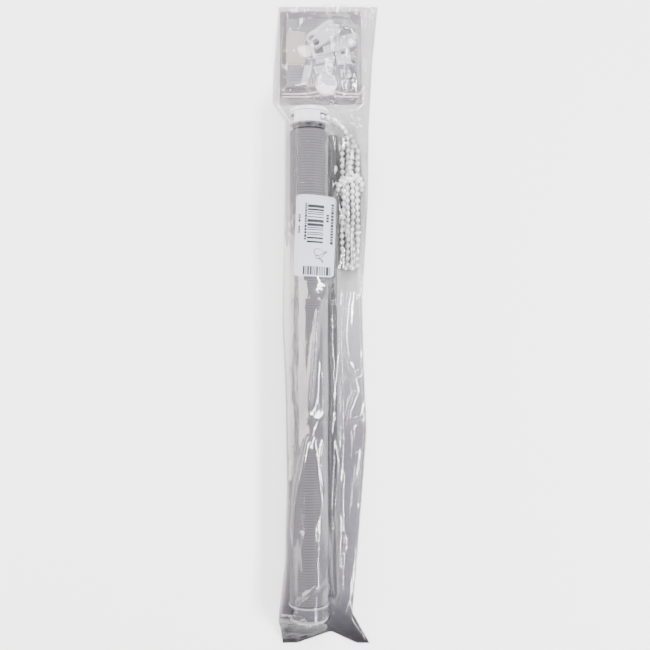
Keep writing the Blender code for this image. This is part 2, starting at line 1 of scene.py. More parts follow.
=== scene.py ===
"""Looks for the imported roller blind: cloth, film, chain, mouldings and fittings, on a pale floor.

X runs along the roller (+X at the chain end), -Y is the way the cloth comes down, +Z faces the
camera. Metres throughout.
"""

import math
import random

import bmesh
import bpy
import numpy as np
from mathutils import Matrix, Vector
from mathutils.bvhtree import BVHTree


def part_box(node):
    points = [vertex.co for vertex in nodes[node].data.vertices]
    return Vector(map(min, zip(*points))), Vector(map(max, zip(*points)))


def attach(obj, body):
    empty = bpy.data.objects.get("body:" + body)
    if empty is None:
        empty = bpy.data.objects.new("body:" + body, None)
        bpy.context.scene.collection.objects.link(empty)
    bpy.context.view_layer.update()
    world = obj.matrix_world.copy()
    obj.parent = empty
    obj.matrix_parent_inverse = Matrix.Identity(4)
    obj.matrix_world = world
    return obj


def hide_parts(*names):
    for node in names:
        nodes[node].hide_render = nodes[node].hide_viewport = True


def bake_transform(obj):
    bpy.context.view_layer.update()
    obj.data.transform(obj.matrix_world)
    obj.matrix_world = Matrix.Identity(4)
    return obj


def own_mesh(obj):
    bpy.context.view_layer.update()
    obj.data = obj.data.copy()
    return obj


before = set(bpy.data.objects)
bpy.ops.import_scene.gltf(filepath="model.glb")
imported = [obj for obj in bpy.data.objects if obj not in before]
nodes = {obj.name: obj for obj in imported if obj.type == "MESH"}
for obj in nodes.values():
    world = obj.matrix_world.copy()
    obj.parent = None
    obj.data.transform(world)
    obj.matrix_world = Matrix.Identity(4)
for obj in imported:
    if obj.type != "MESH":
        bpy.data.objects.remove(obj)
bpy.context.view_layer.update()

# ---- the CAD's own places
ROLL_LOW, ROLL_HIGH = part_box("fabric_roll")
AXIS_Y = (ROLL_LOW.y + ROLL_HIGH.y) / 2
AXIS_Z = (ROLL_LOW.z + ROLL_HIGH.z) / 2
ROLL_R = (ROLL_HIGH.z - ROLL_LOW.z) / 2
CLOTH_X = (ROLL_LOW.x, ROLL_HIGH.x)
HEM_LOW, HEM_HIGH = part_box("hem_fabric_loop")
HEM_Y, HEM_Z = (HEM_LOW.y + HEM_HIGH.y) / 2, (HEM_LOW.z + HEM_HIGH.z) / 2
HEM_R = (HEM_HIGH.z - HEM_LOW.z) / 2
RIB = 0.0025  # from one rib of the cloth to the next
BEAD_R, BEAD_PITCH, POCKETS, CORD_R = 0.00225, 0.006, 10, 0.0006
PITCH_R = POCKETS * BEAD_PITCH / (2 * math.pi)
SPROCKET_MID = CLOTH_X[1] + 0.0125
PADS = ["adhesive_pad_1", "adhesive_pad_2"]
FITTINGS = ["clamp_body_1", "clamp_body_2", "sash_hook_1", "sash_hook_2", "wall_plate_1", "wall_plate_2",
            "chain_guide_plate", "bracket_spacer", "tensioner_base", "tensioner_cap"]
SCREWS = ["mounting_screw_1", "mounting_screw_2"]


# ---- small helpers
def link(name, data):
    made = bpy.data.objects.new(name, data)
    bpy.context.scene.collection.objects.link(made)
    return made


def mesh_piece(name, points, faces, *materials, smooth=True):
    mesh = bpy.data.meshes.new(name)
    mesh.from_pydata([tuple(p) for p in points], [], faces)
    mesh.validate()
    for material in materials:
        mesh.materials.append(material)
    if smooth:
        mesh.shade_smooth()
    return link(name, mesh)


def flat_box(name):
    """A flat thing's lowest corner, its middle, and its sizes along Y and X."""
    low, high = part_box(name)
    return low, ((low.x + high.x) / 2, (low.y + high.y) / 2), high.y - low.y, high.x - low.x


def grid_faces(rows, columns, wrap=False):
    """Quads of a grid of points stored row by row; wrap joins the last column to the first."""
    faces = []
    for i in range(rows - 1):
        for j in range(columns - (0 if wrap else 1)):
            a, b = i * columns + j, i * columns + (j + 1) % columns
            faces.append((a, b, b + columns, a + columns))
    return faces


def slab_faces(rows, columns, start=0):
    """Faces of a closed slab: a grid of points for its underside, and one after it for its top."""
    n = rows * columns
    quads = grid_faces(rows, columns)
    rim = (list(range(columns)) + [i * columns + columns - 1 for i in range(1, rows)]
           + [(rows - 1) * columns + j for j in range(columns - 2, -1, -1)]
           + [i * columns for i in range(rows - 2, 0, -1)])
    faces = [tuple(start + n + i for i in f) for f in quads]
    faces += [tuple(start + i for i in reversed(f)) for f in quads]
    for a, b in zip(rim, rim[1:] + rim[:1]):
        faces.append((start + a, start + b, start + n + b, start + n + a))
    return faces


# ---- noise made in code
def value_noise(x, y, seed):
    """Smooth noise from -1 to 1 at arrays of coordinates, one cell per unit."""
    table = np.random.default_rng(seed).uniform(-1, 1, (64, 64))
    xi, yi = np.floor(x).astype(int), np.floor(y).astype(int)
    fx, fy = x - xi, y - yi
    fx, fy = fx * fx * (3 - 2 * fx), fy * fy * (3 - 2 * fy)
    a, b = table[xi % 64, yi % 64], table[(xi + 1) % 64, yi % 64]
    c, d = table[xi % 64, (yi + 1) % 64], table[(xi + 1) % 64, (yi + 1) % 64]
    return (a * (1 - fx) + b * fx) * (1 - fy) + (c * (1 - fx) + d * fx) * fy


def ridges(x, y, seed):
    """Sharp-crested noise from 0 to 1, like the creases in crumpled film."""
    return 1 - np.abs(value_noise(x, y, seed))


# ---- materials
def new_material(name):
    material = bpy.data.materials.new(name)
    material.use_nodes = True
    tree = material.node_tree
    return material, tree, tree.nodes["Principled BSDF"]


def grey(v, tint=(1, 1, 1)):
    return (v * tint[0], v * tint[1], v * tint[2], 1)


def set_inputs(node, values):
    for key, value in values.items():
        node.inputs[key].default_value = value


def new_node(tree, kind, values=()):
    """A shader node with some of its inputs set."""
    made = tree.nodes.new("ShaderNode" + kind)
    set_inputs(made, dict(values))
    return made


def join(source, target):
    source.id_data.links.new(source, target)


def object_place(tree):
    """Places in the object's own coordinates."""
    return new_node(tree, "TexCoord").outputs["Object"]


def along_axis(tree, axis, low, high, least=0.0, place=None):
    """A value that goes from the least one to 1 between two places along an axis."""
    split = new_node(tree, "SeparateXYZ")
    scaled = new_node(tree, "MapRange", {"From Min": low, "From Max": high, "To Min": least})
    join(place or object_place(tree), split.inputs["Vector"])
    join(split.outputs[axis], scaled.inputs["Value"])
    return scaled.outputs["Result"]


def multiplied(tree, first, second):
    """One colour times another."""
    mixed = new_node(tree, "Mix", {"Factor": 1.0})
    mixed.data_type = "RGBA"
    mixed.blend_type = "MULTIPLY"
    join(first, mixed.inputs["A"])
    join(second, mixed.inputs["B"])
    return mixed.outputs["Result"]


def ramp(tree, source, stops):
    """The colour that a value gives, from (value, colour) stops."""
    made = new_node(tree, "ValToRGB")
    elements = made.color_ramp.elements
    elements[0].position, elements[0].color = stops[0]
    elements[1].position, elements[1].color = stops[-1]
    for position, colour in stops[1:-1]:
        elements.new(position).color = colour
    join(source, made.inputs["Fac"])
    return made.outputs["Color"]


def noise(tree, scale, detail=3, stretch=(1, 1, 1), roughness=0.5):
    mapping = new_node(tree, "Mapping", {"Scale": stretch})
    made = new_node(tree, "TexNoise", {"Scale": scale, "Detail": detail, "Roughness": roughness})
    join(object_place(tree), mapping.inputs["Vector"])
    join(mapping.outputs["Vector"], made.inputs["Vector"])
    return made.outputs["Fac"]


def bump(tree, shader, source, strength, distance):
    """Adds unevenness to a shader, on top of what it has."""
    made = new_node(tree, "Bump", {"Strength": strength, "Distance": distance})
    join(source, made.inputs["Height"])
    before = shader.inputs["Normal"].links
    if before:
        join(before[0].from_socket, made.inputs["Normal"])
    join(made.outputs["Normal"], shader.inputs["Normal"])


def two_tone(tree, shader, source, colour, darker):
    """Colours a shader from a darker tone up to the colour itself, as the source says."""
    dark = tuple(c * darker for c in colour)
    shade = ramp(tree, source, [(0.3, (*dark, 1)), (0.7, (*colour, 1))])
    join(shade, shader.inputs["Base Color"])


def uneven_gloss(tree, shader, source, least, most):
    """Gives a shader two (value, roughness) stops."""
    rough = ramp(tree, source, [(at, grey(value)) for at, value in (least, most)])
    join(rough, shader.inputs["Roughness"])


def plastic(name, colour, roughness=0.32, speckle=0.02):
    """Moulded plastic: slight mottling, flow marks and a fine satin grain."""
    material, tree, shader = new_material(name)
    two_tone(tree, shader, noise(tree, 60, 4), colour, 1 - 3 * speckle)
    uneven_gloss(tree, shader, noise(tree, 260), (0.3, roughness * 0.8), (0.75, roughness * 1.3))
    bump(tree, shader, noise(tree, 2200, 2), 0.12, 0.0002)
    return material


def shade_by_height(material, colour, low, high):
    """Darkens a material towards the surface that the object lies on: painted shade for the depth of a
    bundle.
    """
    tree = material.node_tree
    base = tree.nodes["Principled BSDF"].inputs["Base Color"]
    unshaded = base.links[0].from_socket
    painted_shade = ramp(tree, along_axis(tree, "Z", low, high), [(0.0, (*colour, 1)), (1.0, grey(1.0))])
    join(multiplied(tree, unshaded, painted_shade), base)


def metal(name, colour, roughness, stretch):
    """Drawn or plated metal with fine streaks along its length."""
    material, tree, shader = new_material(name)
    set_inputs(shader, {"Metallic": 1.0})
    streaks = noise(tree, 300, 3, stretch)
    two_tone(tree, shader, streaks, colour, 0.82)
    uneven_gloss(tree, shader, streaks, (0.2, roughness * 0.7), (0.8, roughness * 1.4))
    bump(tree, shader, streaks, 0.2, 0.0001)
    return material


def wave_along(tree, axis, period, start=0.0):
    """Soft bands square to an axis, one every period."""
    made = new_node(tree, "TexWave", {"Scale": math.pi / 10 / period,
                                      "Phase Offset": 2 * math.pi * start / period})
    made.bands_direction = axis
    join(object_place(tree), made.inputs["Vector"])
    return made.outputs["Fac"]


def cloth_material(name, bands=None, shade=1.0):
    """Grey day-and-night cloth: ribs, a fine weave and a soft sheen, in sheer and dense bands."""
    material, tree, shader = new_material(name)
    ribs = wave_along(tree, "X", RIB)
    weave = wave_along(tree, "Y", 0.0006)
    tones = ramp(tree, ribs, [(at, grey(v * shade, (0.97, 0.93, 1.03)))
                              for at, v in ((0.0, 0.076), (0.4, 0.106), (1.0, 0.128))])
    patchy = ramp(tree, noise(tree, 40, 4, (0.4, 1, 1)), [(0.3, grey(0.9)), (0.7, grey(1.06))])
    join(multiplied(tree, tones, patchy), shader.inputs["Base Color"])
    set_inputs(shader, {"Roughness": 0.72, "Sheen Weight": 0.12, "Sheen Roughness": 0.5})
    bump(tree, shader, weave, 0.2, 0.0001)
    bump(tree, shader, ribs, 0.12, 0.0001)
    if bands is not None:
        stripes = wave_along(tree, "Y", 0.125, bands)
        sheer = ramp(tree, stripes, [(0.46, grey(1.0)), (0.5, grey(0.42))])
        join(sheer, shader.inputs["Alpha"])
    return material


def mirrored_share(tree, shader, cloud, mirror, haze):
    """How much of the light a film mirrors: its own haze and Fresnel's share, up to a limit."""
    facing = new_node(tree, "Fresnel", {"IOR": 1.5})
    join(shader.inputs["Normal"].links[0].from_socket, facing.inputs["Normal"])
    cover = ramp(tree, cloud, [(0.3, grey(mirror)), (0.75, grey(mirror + haze))])
    added = new_node(tree, "Math", {1: 1.15})
    added.operation = "MULTIPLY_ADD"
    added.use_clamp = True
    join(facing.outputs["Fac"], added.inputs[0])
    join(cover, added.inputs[2])
    limited = new_node(tree, "Math", {1: 0.26})
    limited.operation = "MINIMUM"
    join(added.outputs["Value"], limited.inputs[0])
    return limited.outputs["Value"]


def sleeve_tint(tree, along, clear_tint, foot_tint, bundle_shade):
    """The sleeve's tint: greyer towards its sealed end, and darker round the bundled chain as a painted
    shadow of it.
    """
    end_tint = tuple(0.62 * v for v in foot_tint)
    end_greying = ramp(tree, along, [(0.0, (*end_tint, 1)), (0.13, (*foot_tint, 1)),
                               (0.52, (*foot_tint, 1)), (1.0, (*clear_tint, 1))])
    # painted shadow of the bundled chain: the tint darkens inside an ellipse round its middle
    (x, y), (reach_x, reach_y) = (0.118, -0.0215), (0.078, 0.021)
    from_bundle = new_node(tree, "VectorMath", {1: (1 / reach_x, 1 / reach_y, 0),
                                                2: (-x / reach_x, -y / reach_y, 0)})
    from_bundle.operation = "MULTIPLY_ADD"
    distance = new_node(tree, "VectorMath")
    distance.operation = "LENGTH"
    join(object_place(tree), from_bundle.inputs[0])
    join(from_bundle.outputs["Vector"], distance.inputs[0])
    shade = ramp(tree, distance.outputs["Value"], [(0.55, grey(bundle_shade)), (1.0, grey(1.0))])
    return multiplied(tree, end_greying, shade)


def film_material(name, mirror, haze, clear_tint, foot_tint=None, bundle_shade=1.0):
    """Thin clear polythene: most light passes, a little is mirrored, more of it at grazing angles."""
    material, tree, shader = new_material(name)
    cloud = noise(tree, 26, 5, (0.45, 1, 1), 0.6)
    fine = noise(tree, 330, 4, (0.35, 1, 1), 0.6)
    tone = ramp(tree, cloud, [(0.3, grey(0.8)), (0.7, grey(0.97))])
    join(tone, shader.inputs["Base Color"])
    set_inputs(shader, {"Metallic": 0.86, "Roughness": 0.115})
    bump(tree, shader, fine, 0.16, 0.0008)
    bump(tree, shader, cloud, 0.25, 0.004)
    clear = new_node(tree, "BsdfTransparent", {"Color": (*clear_tint, 1)})
    if foot_tint:
        along = along_axis(tree, "X", -0.3, 0.06)
        tint = sleeve_tint(tree, along, clear_tint, foot_tint, bundle_shade)
        join(tint, clear.inputs["Color"])
        end_shade = ramp(tree, along, [(0.0, grey(0.16)), (0.12, grey(0.55)), (0.22, grey(0.9)),
                                       (1.0, grey(1.0))])
        join(multiplied(tree, tone, end_shade), shader.inputs["Base Color"])
    mix = new_node(tree, "MixShader")
    join(mirrored_share(tree, shader, cloud, mirror, haze), mix.inputs["Fac"])
    join(clear.outputs["BSDF"], mix.inputs[1])
    join(shader.outputs["BSDF"], mix.inputs[2])
    join(mix.outputs["Shader"], tree.nodes["Material Output"].inputs["Surface"])
    return material


def paper_material(name, colour, roughness=0.5):
    """Coated paper: faint fibres, slight cockling and a dull gloss."""
    material, tree, shader = new_material(name)
    fibres = noise(tree, 900, 4, (0.4, 1, 1), 0.7)
    two_tone(tree, shader, fibres, colour, 0.93)
    uneven_gloss(tree, shader, fibres, (0.3, roughness * 0.85), (0.8, roughness * 1.15))
    bump(tree, shader, fibres, 0.15, 0.0001)
    bump(tree, shader, noise(tree, 60, 2), 0.2, 0.0008)
    return material


WHITE = plastic("moulded_white", (0.8, 0.79, 0.84), 0.3, 0.01)
FITTING = plastic("moulded_white_fittings", (0.93, 0.92, 0.95), 0.26, 0.01)
FROSTED_RIM = plastic("moulded_frosted_rim", (0.42, 0.42, 0.45), 0.24, 0.04)
FROSTED = plastic("moulded_frosted", (0.13, 0.13, 0.145), 0.24, 0.04)
GREY = plastic("moulded_grey", (0.5, 0.5, 0.53), 0.4)
DARK = plastic("moulded_dark", (0.055, 0.055, 0.062), 0.42, 0.05)
BEAD = plastic("bead_plastic", (0.88, 0.9, 0.9), 0.16, 0.015)
# painted shade: the beads darken towards the floor, as deep in the bundle
shade_by_height(BEAD, (0.4, 0.385, 0.37), 0.0045, 0.0165)
ALUMINIUM = metal("drawn_aluminium", (0.78, 0.79, 0.81), 0.3, (0.03, 1, 1))
STEEL = metal("plated_steel", (0.6, 0.61, 0.64), 0.26, (1, 1, 1))
CLOTH = cloth_material("blind_cloth")
CLOTH_BANDED = cloth_material("blind_cloth_banded", 0.0)
CLOTH_BACK = cloth_material("blind_cloth_back", 0.055)
# a darker copy of the cloth for the loop round the bottom bar: painted shade in the gap beside the roll
CLOTH_HEM_SHADED = cloth_material("blind_cloth_hem_shaded", shade=0.52)
FILM = film_material("sleeve_film", 0.03, 0.04, (0.95, 0.944, 0.95), (0.86, 0.85, 0.87))
# the underside also carries the painted shadow of the bundled chain, its last argument
FILM_UNDER = film_material("sleeve_film_under", 0.05, 0.05, (0.8, 0.785, 0.79), (0.48, 0.47, 0.5), 0.4)
POUCH_FILM = film_material("pouch_film", 0.014, 0.025, (0.815, 0.805, 0.82))
PAPER = paper_material("label_stock", (0.44, 0.44, 0.53))
LEAFLET = paper_material("leaflet_stock", (0.44, 0.44, 0.47), 0.7)
INK = plastic("printed_ink", (0.012, 0.012, 0.018), 0.6, 0.1)
GREY_INK = plastic("grey_ink", (0.27, 0.27, 0.32), 0.6, 0.1)
FOAM = paper_material("pad_foam", (0.88, 0.86, 0.76), 0.75)
LINER = paper_material("pad_liner", (0.74, 0.72, 0.62), 0.3)
ZIP = plastic("zip_strip", (0.7, 0.62, 0.615), 0.25)
ZIP_RED = plastic("zip_mark", (0.42, 0.07, 0.06), 0.35)


def paint(names, material):
    for name in names:
        nodes[name].data.materials.clear()
        nodes[name].data.materials.append(material)


# ---- camera, floor and lights
def make_camera():
    data = bpy.data.cameras.new("camera")
    data.sensor_width, data.lens = 36, 43.5
    data.clip_start, data.clip_end = 0.05, 60
    camera = link("camera", data)
    camera.location.z = 0.745
    camera.rotation_euler.z = math.radians(-90)  # the chain end at the top of the picture
    bpy.context.scene.camera = camera


def make_stage():
    material, tree, shader = new_material("pale_floor")
    set_inputs(shader, {"Base Color": grey(0.93), "Roughness": 0.75})
    lines = (-12, 0, 12)
    floor = mesh_piece("floor", [(x, y, 0) for y in lines for x in lines], grid_faces(3, 3), material,
                       smooth=False)
    floor.location.z = -0.0006


def area_light(name, place, aim, size, power, colour=(1, 1, 1), mirrored=True):
    data = bpy.data.lights.new(name, "AREA")
    data.shape = "RECTANGLE"
    data.size, data.size_y = size
    data.energy = power
    data.color = colour
    light = link(name, data)
    light.location = place
    light.rotation_euler = (Vector(aim) - Vector(place)).to_track_quat("-Z", "Y").to_euler()
    light.visible_glossy = mirrored


def make_lights():
    world = bpy.data.worlds.new("studio")
    bpy.context.scene.world = world
    world.use_nodes = True
    tree = world.node_tree
    # pale low down and darker overhead, and dimmer on the right of the picture
    way = new_node(tree, "TexCoord").outputs["Generated"]
    split = new_node(tree, "SeparateXYZ")
    join(way, split.inputs["Vector"])
    sky = ramp(tree, split.outputs["Z"],
               [(0.0, (1.15, 1.12, 1.1, 1)), (0.3, (0.6, 0.6, 0.63, 1)), (1.0, (0.14, 0.14, 0.16, 1))])
    background = tree.nodes["Background"]
    join(sky, background.inputs["Color"])
    join(along_axis(tree, "Y", -0.6, 0.5, 0.38, way), background.inputs["Strength"])
    area_light("panel_left", (-0.075, 1.05, 1.1), (-0.075, 0, 0), (0.69, 1.0), 35, (1.0, 0.93, 0.88))
    area_light("low_left", (0.0, 2.2, 0.55), (0, 0, 0), (5.0, 0.6), 50, (1.0, 0.96, 0.93))
    area_light("strip_right", (-0.38, -1.25, 1.25), (-0.38, 0, 0), (1.25, 0.12), 85, (0.97, 0.985, 1.0))
    area_light("panel_head", (2.1, 0.1, 1.5), (0, 0, 0), (1.2, 1.6), 30, mirrored=False)
    area_light("spark_head", (1.35, -0.4, 1.3), (0.2, 0, 0), (0.7, 0.45), 26)
    area_light("panel_foot", (-2.0, 0.2, 1.4), (0, 0, 0), (1.0, 1.6), 28, mirrored=False)
    area_light("top_fill", (0.55, 0.15, 1.9), (0.1, 0, 0), (1.0, 1.0), 38, mirrored=False)


# ---- the chain
def smooth_route(points, spacing):
    """Points about that far apart along a smooth curve through the route's own points."""
    route = [Vector(p) for p in points]
    ends = [2 * route[0] - route[1]] + route + [2 * route[-1] - route[-2]]
    found = [route[0]]
    for a, b, c, d in zip(ends, ends[1:], ends[2:], ends[3:]):
        count = max(1, round((c - b).length / spacing))
        for i in range(1, count + 1):
            t = i / count
            found.append(0.5 * (2 * b + (c - a) * t + (2 * a - 5 * b + 4 * c - d) * t * t
                                + (3 * b - a - 3 * c + d) * t ** 3))
    return found


def even_steps(points, step):
    """The same route as points an equal way apart along it."""
    line = np.array([tuple(p) for p in points])
    walked = np.concatenate([[0], np.cumsum(np.linalg.norm(np.diff(line, axis=0), axis=1))])
    count = int(walked[-1] / step)
    at = np.linspace(0, walked[-1], count + 1)
    return np.stack([np.interp(at, walked, line[:, k]) for k in range(3)], 1), walked[-1]


HANK_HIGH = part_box("chain_hank")[1]
HANK_Y = -0.0235
TIE_Z = 0.0125
STRAND_Y = (-0.00695, -0.0023, 0.0023, 0.00695)  # four columns of strands, from the right
STRAND_Z = (0.0043, 0.0088)


def hank_lift(x):
    """How far the strands are raised where the chain's own turns pass under them."""
    d = (x - 0.126) / 0.021
    return 0.0058 * math.exp(-d * d)


def strand(column, layer, start, end, points=12):
    """One strand of the hank, with the small wander of a chain that is bundled by hand."""
    found = []
    wander = random.Random(31 * column + 7 * layer)
    phase, depth = wander.uniform(0, 6.28), wander.uniform(0.0005, 0.0011)
    for i in range(points + 1):
        t = i / points
        x = start + (end - start) * t
        y = HANK_Y + STRAND_Y[column] * (1 - 0.06 * math.exp(-((x - 0.129) / 0.02) ** 2))
        y += depth * math.sin(phase + 9 * t)
        z = STRAND_Z[layer] + hank_lift(x) + 0.3 * depth * math.cos(phase + 7 * t)
        found.append((x, y, z))
    return found


def fold(end, x, column_a, layer_a, column_b, layer_b, points=6):
    """The bend that takes the chain from one strand to the next, at one end of the hank."""
    ya, yb = HANK_Y + STRAND_Y[column_a], HANK_Y + STRAND_Y[column_b]
    za, zb = STRAND_Z[layer_a], STRAND_Z[layer_b]
    radius = abs(yb - ya) / 2
    found = []
    for i in range(1, points):
        a = math.pi * i / points
        t = (1 - math.cos(a)) / 2
        found.append((x + end * radius * math.sin(a), ya + (yb - ya) * t, za + (zb - za) * t))
    return found


def make_chain():
    x, y, z = SPROCKET_MID, AXIS_Y, AXIS_Z

    def half_turn(shares):
        return [(x, y + PITCH_R * math.sin(math.pi * t), z + PITCH_R * math.cos(math.pi * t)) for t in shares]

    wheel = half_turn([i / 12 for i in range(13)])
    hank_end = HANK_HIGH.x + 0.0006
    upper = [(hank_end, -0.0212, 0.0089), (hank_end + 0.004, -0.0207, 0.01),
             (x - 0.008, -0.017, 0.0162), (x - 0.003, -0.0098, 0.0236),
             (x - 0.0005, -0.0035, 0.0268), (x, 0.003, z + PITCH_R - 0.0004)]
    lower = [(x, 0.003, z - PITCH_R - 0.0001), (x - 0.0005, -0.0035, 0.0091),
             (x - 0.0035, -0.0115, 0.0084), (x - 0.0085, -0.0185, 0.0076),
             (hank_end + 0.004, -0.025, 0.006), (hank_end, -0.0258, 0.005)]
    # from the sprocket's top, down the upper lead, through the hank, and back up the lower lead
    route = [wheel[0]] + list(reversed(upper))
    far, near = 0.0575, 0.164
    order = [(2, 1), (0, 1), (2, 0), (0, 0), (3, 0), (1, 0), (3, 1), (1, 1)]
    for i, (column, layer) in enumerate(order):
        outward = i % 2 == 0
        ends = (near, far) if outward else (far, near)
        if i == 0:
            ends = (near - 0.002, far)
        last = i == len(order) - 1
        if last:
            ends = (far, 0.118)  # the last strand stops short, at the tie
        route += strand(column, layer, *ends)
        if not last:
            side = -1 if outward else 1
            route += fold(side, ends[1], column, layer, *order[i + 1])
    # two turns of the chain round the hank, as its tie
    turns = 2
    steps = 18 * turns
    for i in range(steps + 1):
        a = math.radians(100) - 2 * math.pi * turns * i / steps
        route.append((0.1262 + 0.0058 * i / steps + 0.0062 * math.sin(a), HANK_Y + 0.0112 * math.cos(a),
                      TIE_Z + 0.0086 * math.sin(a)))
    route += [(0.145, HANK_Y + 0.0005, 0.0175), (0.154, HANK_Y - 0.001, 0.013),
              (0.164, HANK_Y - 0.002, 0.0092)]
    route += list(reversed(lower)) + [wheel[-1]]
    line = smooth_route(route, 0.0012)
    places, length = even_steps(line, BEAD_PITCH)
    fine = even_steps(line, 0.002)[0]
    chain = spheres("bead_chain", places, 2)
    add_cord_mesh(chain, fine, CORD_R)
    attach(chain, "headset")
    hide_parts("chain_run", "chain_hank")
    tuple(wheel[0])
    # the half turn on the sprocket, which the object holds all the way
    ring = spheres("chain_on_sprocket", half_turn([(i + 0.5) / 5 for i in range(5)]), 3)
    add_cord_mesh(ring, wheel, CORD_R)
    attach(ring, "headset")


def spheres(name, places, subdivisions):
    """One piece with a bead at each place."""
    bm = bmesh.new()
    bmesh.ops.create_icosphere(bm, subdivisions=subdivisions, radius=BEAD_R)
    points = np.array([tuple(v.co) for v in bm.verts])
    faces = np.array([[v.index for v in f.verts] for f in bm.faces])
    bm.free()
    every = (np.array(places)[:, None, :] + points[None]).reshape(-1, 3)
    all_faces = (np.arange(len(places))[:, None, None] * len(points) + faces[None]).reshape(-1, 3)
    return mesh_piece(name, every.tolist(), all_faces.tolist(), BEAD)


def add_cord_mesh(piece, line, radius, sides=6):
    """Adds the thin cord that runs through the beads to a piece's mesh."""
    points, count = [], len(line)
    for i in range(count):
        along = (Vector(line[min(i + 1, count - 1)]) - Vector(line[max(i - 1, 0)])).normalized()
        side = along.cross(Vector((0.3, 0.2, 1))).normalized()
        up = side.cross(along)
        for k in range(sides):
            a = 2 * math.pi * k / sides
            points.append(Vector(line[i]) + radius * (math.cos(a) * side + math.sin(a) * up))
    faces = grid_faces(count, sides, wrap=True)
    faces += [tuple(range(sides)), tuple(reversed(range((count - 1) * sides, count * sides)))]
    bm = bmesh.new()
    bm.from_mesh(piece.data)
    made = [bm.verts.new(p) for p in points]
    for face in faces:
        bm.faces.new([made[i] for i in face])
    bm.to_mesh(piece.data)
    bm.free()
    piece.data.shade_smooth()


# ---- the cloth
TURNS, FIRST_R = 16, 0.0094
ROLL_PITCH = (ROLL_R - FIRST_R) / TURNS


def strip(rows):
    """Points and faces of a grid, from its rows of points."""
    return [p for row in rows for p in row], grid_faces(len(rows), len(rows[0]))


def places_across(spacing):
    """Even places over the cloth's width, four to each stretch of about that length."""
    return list(np.linspace(*CLOTH_X, 4 * round((CLOTH_X[1] - CLOTH_X[0]) / spacing) + 1))


def rib_wave(x):
    return math.cos(2 * math.pi * (x - CLOTH_X[0]) / RIB)


def spiral(first, turns, steps, shift, ribs):
    """Points and faces of one layer of the roll, from its first turn on; ribs are (x, depth) pairs."""
    rows = []
    for i in range(turns * steps + 1):
        turn = first + i / steps
        a, r = 2 * math.pi * turn, FIRST_R + ROLL_PITCH * turn - shift
        rows.append([(x, AXIS_Y - (r - g) * math.sin(a), AXIS_Z - (r - g) * math.cos(a)) for x, g in ribs])
    return strip(rows)


def make_roll():
    """The two cloth layers as they are wound: two spirals, one inside the other, ribbed outside."""
    plain = [(x, 0.0) for x in np.linspace(*CLOTH_X, 9)]
    ribbed = [(x, 0.00002 * (1 - rib_wave(x))) for x in places_across(RIB)]
    points, faces = [], []
    for shift in (0.0, ROLL_PITCH / 2):
        for part in (spiral(0, TURNS - 1, 48, shift, plain), spiral(TURNS - 1, 1, 64, shift, ribbed)):
            faces += [tuple(len(points) + i for i in f) for f in part[1]]
            points += part[0]
    roll = mesh_piece("cloth_on_roll", points, faces, CLOTH)
    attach(roll, "roller")
    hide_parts("fabric_roll")


def make_drop():
    """The cloth between the roll and the bottom bar: two layers."""
    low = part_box("fabric_drop")[0]
    xs = places_across(0.005)
    count = 60
    for layer, lift, material in (("front", 0.0002, CLOTH_BANDED), ("back", 0.0, CLOTH_BACK)):
        rows = []
        for i in range(count + 1):
            t = i / count
            y, z = AXIS_Y + (HEM_Y - AXIS_Y) * t, low.z + 0.0001 + lift * math.sin(math.pi * t)
            rows.append([(x, y, z + 0.00006 * rib_wave(x)) for x in xs])
        sheet = mesh_piece("cloth_drop_" + layer, *strip(rows), material)
        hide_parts("fabric_drop")
        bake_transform(sheet)


def make_hem_loop():
    """The ribbed cloth taken once round the bottom bar."""
    xs = places_across(RIB)
    ribbed = [(x, HEM_R - 0.00008 + 0.00006 * rib_wave(x)) for x in xs]
    rows, count = [], 44
    for i in range(count + 1):
        a = 2 * math.pi * i / count
        rows.append([(x, HEM_Y + r * math.sin(a), HEM_Z - r * math.cos(a)) for x, r in ribbed])
    # the loop takes the darker copy of the cloth, as painted shade
    loop = mesh_piece("cloth_round_bar", *strip(rows), CLOTH_HEM_SHADED)
    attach(loop, "hem")
    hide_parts("hem_fabric_loop")


# ---- the film
CELL = 0.0005


def tree_of(pieces):
    """One search tree of all these pieces' surfaces."""
    points, faces = [], []
    for piece in pieces:
        start = len(points)
        matrix = piece.matrix_world
        points += [matrix @ v.co for v in piece.data.vertices]
        faces += [tuple(start + i for i in p.vertices) for p in piece.data.polygons]
    return BVHTree.FromPolygons(points, faces)


def heights_over(tree, xs, ys):
    """How high the contents reach at each place of a grid."""
    down = Vector((0, 0, -1))
    found = np.zeros((len(xs), len(ys)))
    for i, x in enumerate(xs):
        for j, y in enumerate(ys):
            place = tree.ray_cast(Vector((x, y, 0.1)), down)[0]
            found[i, j] = place.z if place is not None else 0.0
    return found


def rolled_over(heights, cell, radius, axis):
    """Heights after a ball of that radius has been rolled over them, so that hollows are bridged."""
    reach = int(radius / cell)
    offsets = np.arange(-reach, reach + 1)
    cap = np.sqrt(np.maximum(radius ** 2 - (offsets * cell) ** 2, 0))
    h = np.moveaxis(heights, axis, -1)
    padded = np.pad(h, [(0, 0), (reach, reach)], constant_values=0.0)
    grown = np.max(np.stack([padded[:, k:k + h.shape[1]] + c for k, c in enumerate(cap)]), 0)
    padded = np.pad(grown, [(0, 0), (reach, reach)], mode="edge")
    shrunk = np.min(np.stack([padded[:, k:k + h.shape[1]] - c for k, c in enumerate(cap)]), 0)
    return np.moveaxis(np.maximum(shrunk, h), -1, axis)


def blurred(field, steps_x, steps_y):
    """A soft average along both axes."""
    for axis, steps in ((0, steps_x), (1, steps_y)):
        kernel = np.hanning(2 * steps + 3)[1:-1]
        kernel /= kernel.sum()
        padded = np.pad(field, [(steps, steps) if a == axis else (0, 0) for a in (0, 1)], mode="edge")
        field = np.apply_along_axis(lambda r: np.convolve(r, kernel, "valid"), axis, padded)
    return field


def soft_step(x, low, high):
    t = np.clip((x - low) / (high - low), 0, 1)
    return t * t * (3 - 2 * t)


